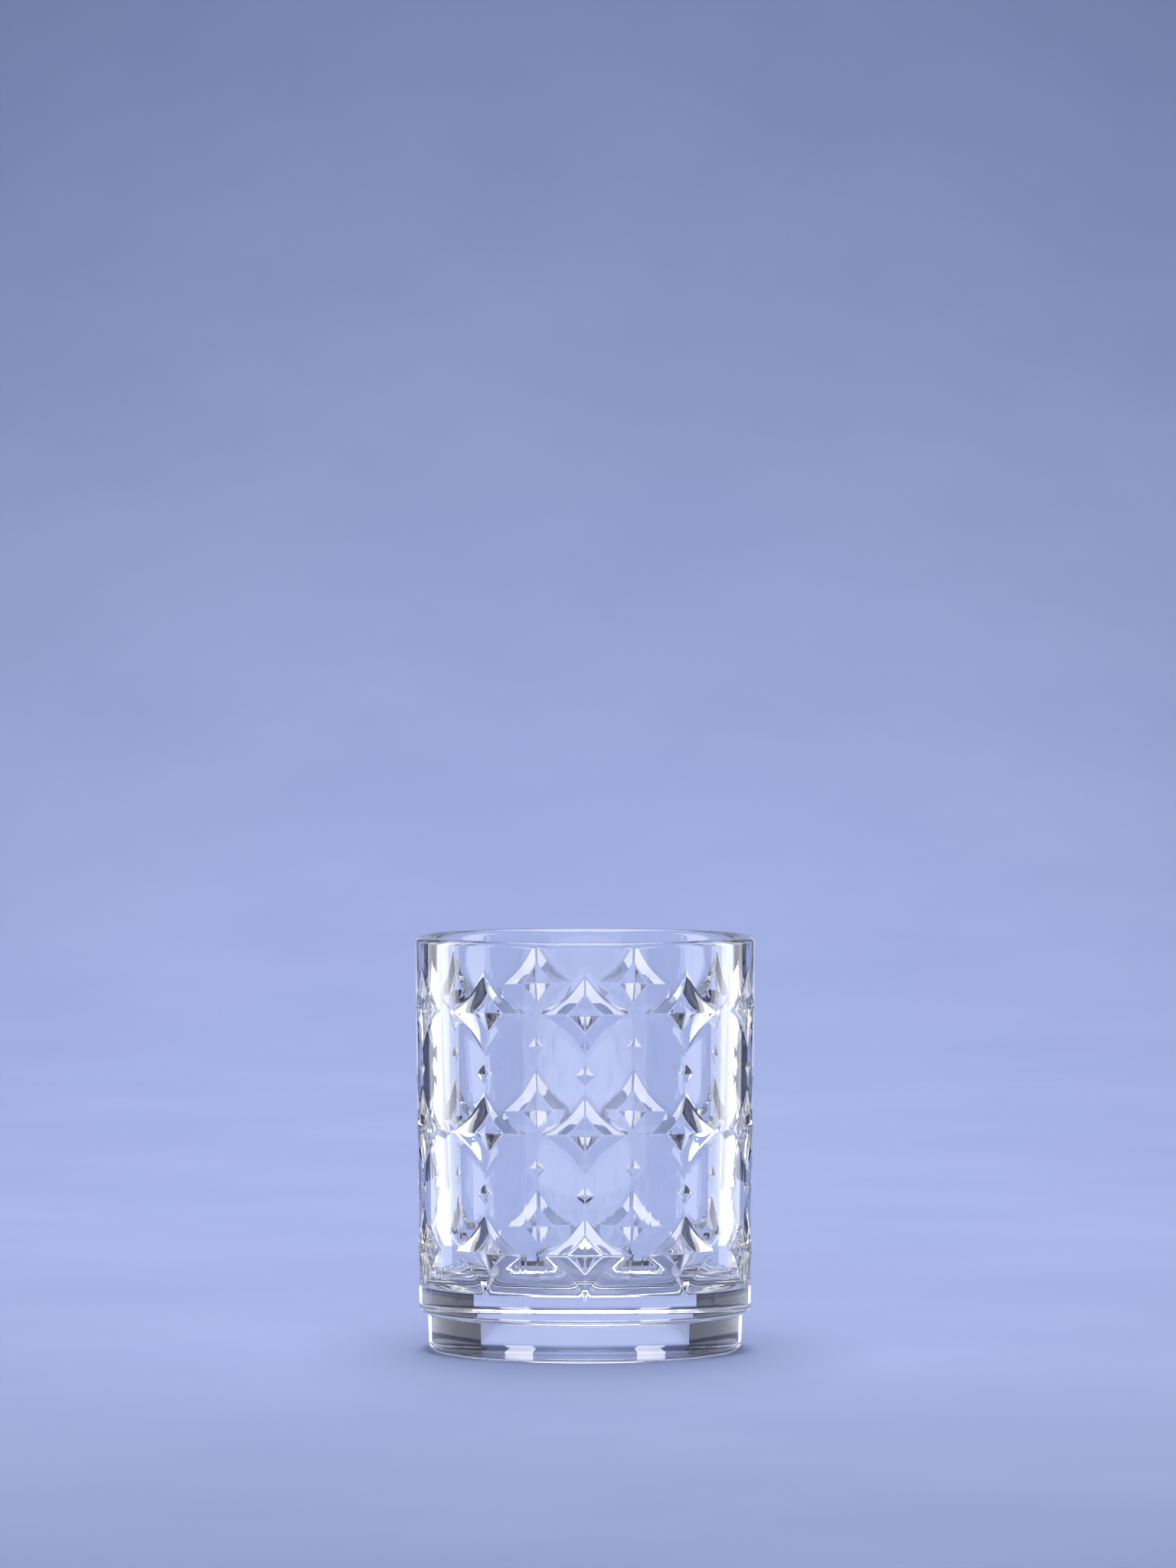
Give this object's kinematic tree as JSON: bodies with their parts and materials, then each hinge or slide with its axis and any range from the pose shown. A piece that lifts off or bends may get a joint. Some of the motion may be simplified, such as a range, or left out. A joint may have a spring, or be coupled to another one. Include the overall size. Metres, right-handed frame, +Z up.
{
  "type": "whiskey tumbler",
  "caption": "Clear pressed-glass tumbler with a straight, slightly tapered bowl, a relief of four-pointed stars and small diamonds, a thick floor and a stepped foot.",
  "frame": {"origin": "centre of the foot's underside, on the surface the glass stands on", "axes": "+Z up along the glass's axis, towards the mouth; the first column of stars faces -Y"},
  "size_m": [0.082, 0.082, 0.1],
  "materials": {
    "clear_glass": "fire-polished, clear"
  },
  "bodies": {
    "root": {"foot": "clear_glass", "base": "clear_glass", "wall": "clear_glass", "rim": "clear_glass"}
  },
  "joints": []
}
